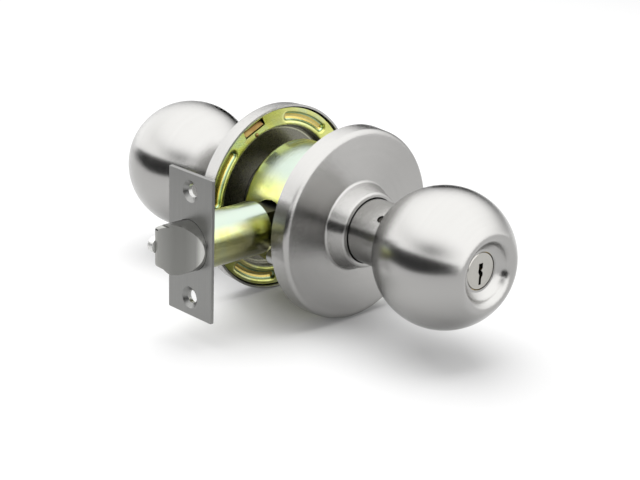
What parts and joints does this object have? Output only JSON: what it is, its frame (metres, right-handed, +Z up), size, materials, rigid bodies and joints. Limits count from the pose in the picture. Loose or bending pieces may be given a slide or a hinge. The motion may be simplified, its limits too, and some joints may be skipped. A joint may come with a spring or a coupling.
{
  "type": "cylindrical knob lock",
  "caption": "Cylindrical knob lock with ball knobs, keyed outside and with a push button inside, drawn roses, a zinc-plated drum and a tubular deadlatch.",
  "frame": {"origin": "where the knob axis and the latch axis cross, in the middle of the drum", "axes": "+Z up; the knobs lie along Y, keyed knob at -Y and push button at +Y; the bolt points to -X"},
  "size_m": [0.118, 0.2028, 0.0782],
  "materials": {
    "satin_stainless": "satin stainless steel with turned brush lines",
    "plate_stainless": "flat stainless steel brushed lengthwise",
    "bolt_stainless": "finely ground stainless steel",
    "yellow_zinc": "zinc plate with yellow iridescent passivation",
    "grey_zinc": "plain grey zinc plate",
    "dark_case": "black oxide finish",
    "nickel_plug": "nickel-plated brass, satin",
    "plain_brass": "turned brass",
    "spring_steel": "drawn spring wire"
  },
  "bodies": {
    "lock_case": {"face_plate": "plate_stainless", "backing_plate": "grey_zinc", "latch_tube": "yellow_zinc", "latch_case": "dark_case", "latch_spring": "spring_steel", "plunger_spring": "spring_steel", "chassis_drum": "yellow_zinc", "spring_seat": "grey_zinc", "retractor_springs": "spring_steel", "screw_posts": "grey_zinc", "outside_rose": "satin_stainless", "inside_rose": "satin_stainless", "outside_liner": "yellow_zinc", "inside_liner": "yellow_zinc", "outside_hub": "grey_zinc", "inside_hub": "grey_zinc"},
    "outside_knob": {"outside_knob": "satin_stainless", "outside_neck": "satin_stainless", "outside_spindle": "grey_zinc", "outside_retaining_ring": "spring_steel", "cylinder_body": "plain_brass", "cylinder_spacer": "grey_zinc", "driver_pins": "plain_brass", "pin_springs": "spring_steel", "spring_cover": "plain_brass"},
    "inside_knob": {"inside_knob": "satin_stainless", "inside_neck": "satin_stainless", "inside_spindle": "grey_zinc", "inside_retaining_ring": "spring_steel", "rod_guide": "grey_zinc", "button_spring": "spring_steel"},
    "key_plug": {"key_plug": "nickel_plug", "plug_retaining_ring": "spring_steel", "tail_bar": "grey_zinc", "unlocking_cam": "grey_zinc", "key_pin_1": "plain_brass", "key_pin_2": "plain_brass", "key_pin_3": "plain_brass", "key_pin_4": "plain_brass", "key_pin_5": "plain_brass"},
    "push_button": {"push_button": "satin_stainless", "button_rod": "grey_zinc", "locking_plate": "grey_zinc"},
    "retractor": {"retractor": "grey_zinc"},
    "latch_bolt": {"latch_bolt": "bolt_stainless", "latch_tail": "grey_zinc"},
    "deadlatch_plunger": {"deadlatch_plunger": "bolt_stainless"},
    "outside_catch": {"outside_knob_catch": "spring_steel"},
    "inside_catch": {"inside_knob_catch": "spring_steel"}
  },
  "joints": [
    {"name": "inside_knob_turn", "type": "hinge", "parent": "lock_case", "child": "inside_knob", "pos_m": [0, 0.079, 0], "axis": [0, 1, 0], "range_deg": [0, 55], "stiffness_Nm_per_rad": 0.25, "springref_deg": -17.19},
    {"name": "retractor_slide", "type": "slide", "parent": "lock_case", "child": "retractor", "axis": [1, 0, 0], "range_m": [0, 0.0116], "deforming": ["retractor_springs"]},
    {"name": "latch_bolt_slide", "type": "slide", "parent": "lock_case", "child": "latch_bolt", "axis": [1, 0, 0], "range_m": [0, 0.0116], "deforming": ["latch_spring"]},
    {"name": "outside_knob_turn", "type": "hinge", "parent": "lock_case", "child": "outside_knob", "pos_m": [0, -0.0698, 0], "axis": [0, 1, 0], "range_deg": [-55, 55], "stiffness_Nm_per_rad": 0.25},
    {"name": "key_plug_turn", "type": "hinge", "parent": "outside_knob", "child": "key_plug", "pos_m": [0, -0.08, 0], "axis": [0, 1, 0], "range_deg": [-90, 90]},
    {"name": "push_button_press", "type": "slide", "parent": "inside_knob", "child": "push_button", "axis": [0, -1, 0], "range_m": [0, 0.0035], "stiffness_N_per_m": 300, "springref_m": -0.003, "deforming": ["button_spring"]},
    {"name": "deadlatch_plunger_press", "type": "slide", "parent": "lock_case", "child": "deadlatch_plunger", "axis": [1, 0, 0], "range_m": [0, 0.0115], "stiffness_N_per_m": 120, "springref_m": -0.004, "deforming": ["plunger_spring"]},
    {"name": "outside_catch_press", "type": "slide", "parent": "outside_knob", "child": "outside_catch", "axis": [0.6428, 0, -0.766], "range_m": [0, 0.0015], "stiffness_N_per_m": 600, "springref_m": -0.001},
    {"name": "inside_catch_press", "type": "slide", "parent": "inside_knob", "child": "inside_catch", "axis": [0.6428, 0, -0.766], "range_m": [0, 0.0015], "stiffness_N_per_m": 600, "springref_m": -0.001}
  ],
  "couplings": [
    {"joint": "retractor_slide", "follows": "inside_knob_turn", "m_per_rad": 0.01198},
    {"joint": "latch_bolt_slide", "follows": "inside_knob_turn", "m_per_rad": 0.01198}
  ]
}
